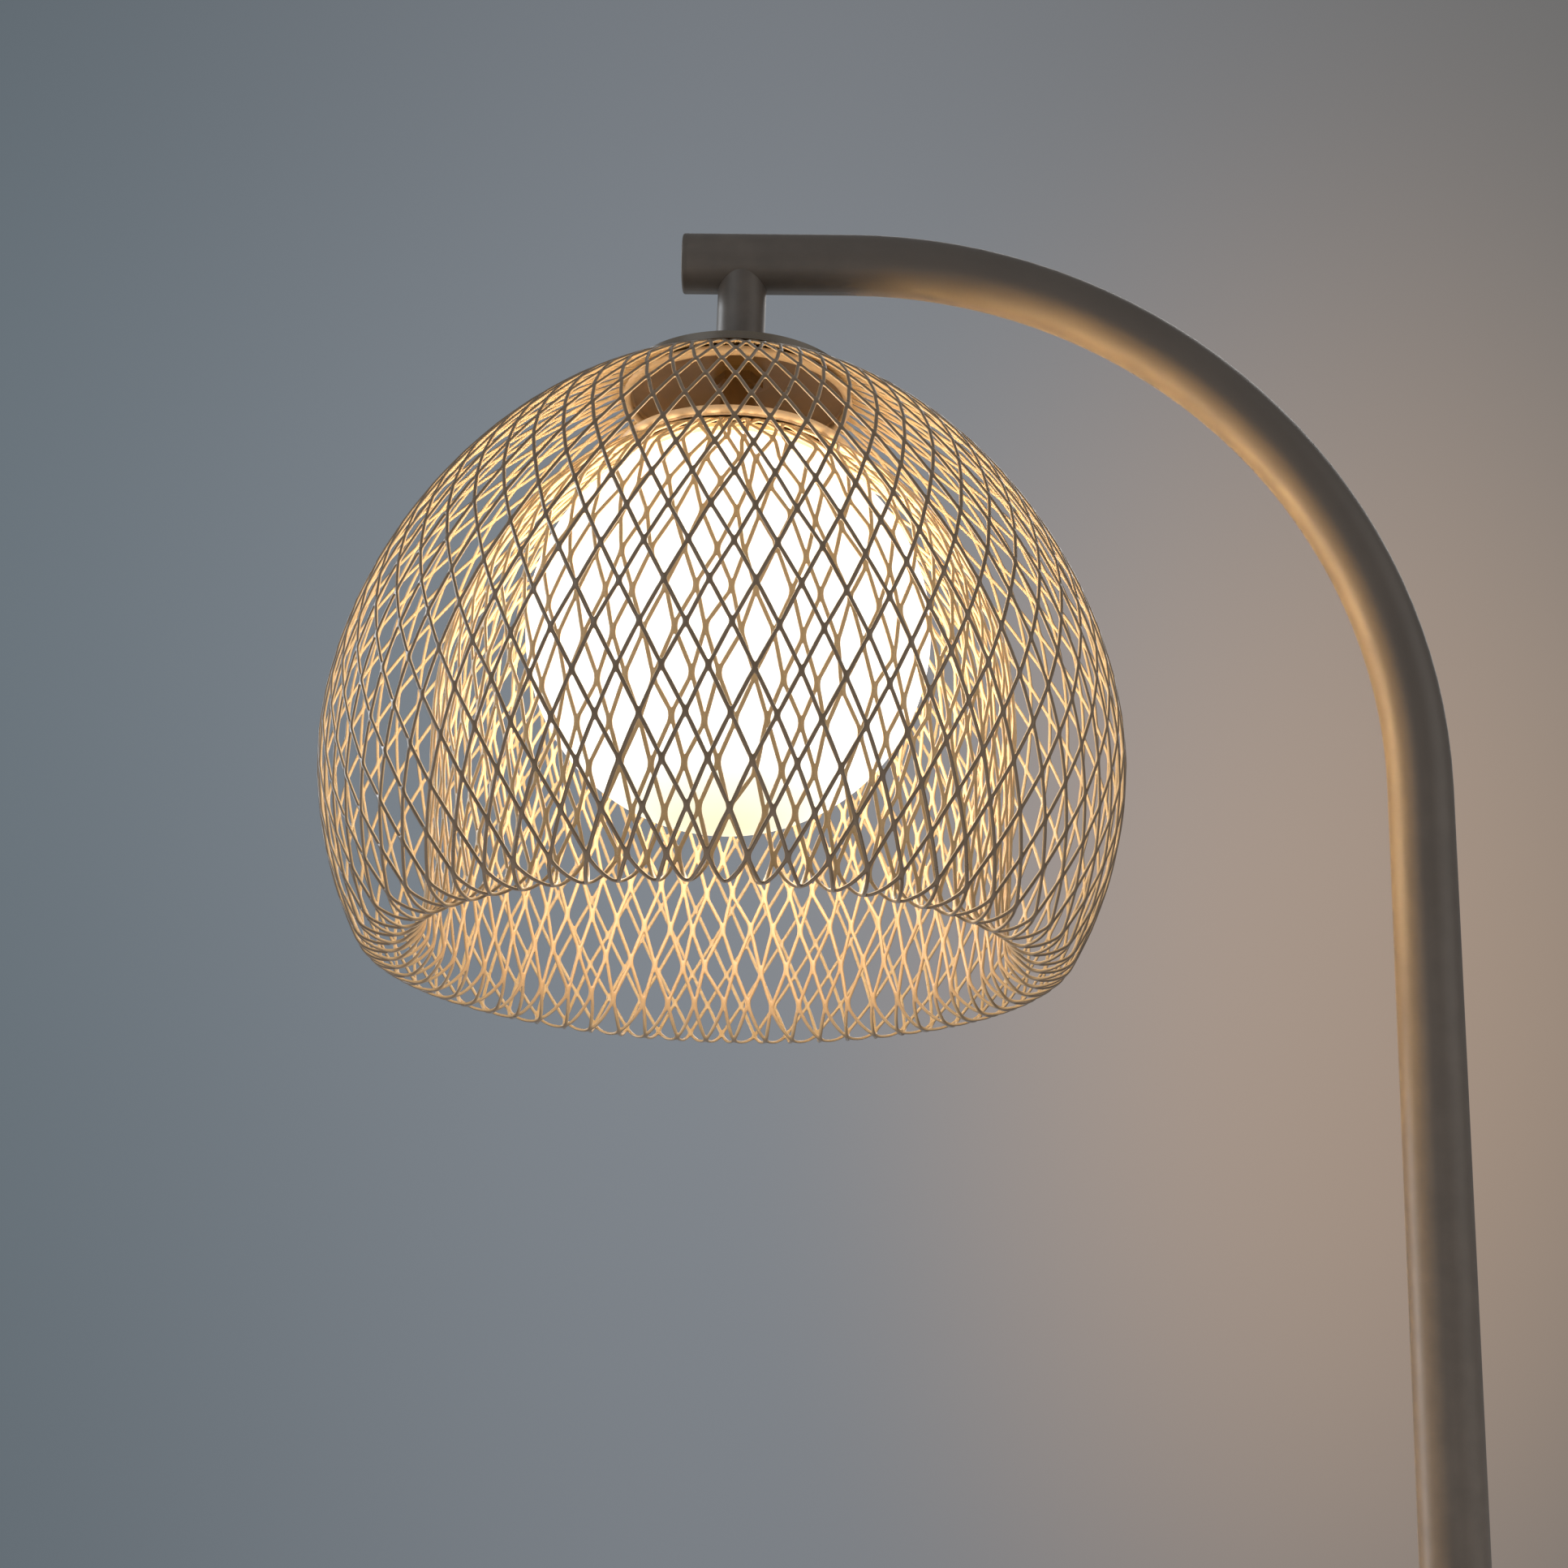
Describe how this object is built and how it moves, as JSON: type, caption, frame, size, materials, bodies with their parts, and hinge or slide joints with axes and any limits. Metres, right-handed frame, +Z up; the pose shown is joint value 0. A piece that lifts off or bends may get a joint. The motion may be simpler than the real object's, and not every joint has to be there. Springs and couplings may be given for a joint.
{
  "type": "mesh table lamp",
  "caption": "Table lamp: a bent tube on a weighted round base carries a double wire-mesh dome shade round an opal glass globe.",
  "frame": {"origin": "centre of the face that the base rests on", "axes": "+Z up along the pole; the pole stands at +X and the shade hangs at -X; +Y is the back, where the cord inlet is"},
  "size_m": [0.3763, 0.2504, 0.5],
  "materials": {
    "lacquered_steel": "satin taupe lacquer",
    "shade_lacquer": "satin dark taupe lacquer",
    "net_lacquer": "satin dark taupe lacquer on flattened expanded sheet",
    "plate_tan": "satin tan lacquer",
    "cast_weight": "rough cast",
    "plated_steel": "zinc plated",
    "brass": "turned",
    "felt": "pressed felt",
    "gland_plastic": "moulded nylon",
    "terminal_plastic": "moulded polyamide",
    "holder_plastic": "thermoset",
    "opal_glass": "opal, satin, lit from inside",
    "bulb_glass": "opal coated glass",
    "nickel": "nickel plated",
    "gasket": "silicone",
    "wire_sheath": "PVC sheath"
  },
  "bodies": {
    "root": {"base_pad": "felt", "bottom_plate": "plated_steel", "plate_screws": "plated_steel", "base_weight": "cast_weight", "base_cover": "lacquered_steel", "cord_gland": "gland_plastic", "terminal_block": "terminal_plastic", "terminal_screws": "brass", "pole_foot": "lacquered_steel", "foot_stud": "plated_steel", "foot_washer": "plated_steel", "foot_nut": "plated_steel", "arm_tube": "lacquered_steel", "arm_plug": "lacquered_steel", "neck_tube": "lacquered_steel", "neck_bush": "plated_steel", "threaded_rod": "brass", "rod_nuts": "brass", "shade_cap": "shade_lacquer", "mesh_retainer": "shade_lacquer", "mesh_shade": "net_lacquer", "spacer_tube": "shade_lacquer", "inner_plate": "plate_tan", "globe_collar": "plate_tan", "globe_gasket": "gasket", "lampholder_body": "holder_plastic", "lampholder_shell": "brass", "lampholder_contact": "brass", "inner_lead": "wire_sheath"},
    "globe": {"opal_globe": "opal_glass"},
    "bulb": {"bulb_cap": "nickel", "bulb_glass": "bulb_glass"}
  },
  "joints": [
    {"name": "globe_lower", "type": "slide", "parent": "root", "child": "globe", "axis": [0, 0, -1], "range_m": [0, 0.175]},
    {"name": "bulb_lower", "type": "slide", "parent": "root", "child": "bulb", "axis": [0, 0, -1], "range_m": [0, 0.026]}
  ]
}
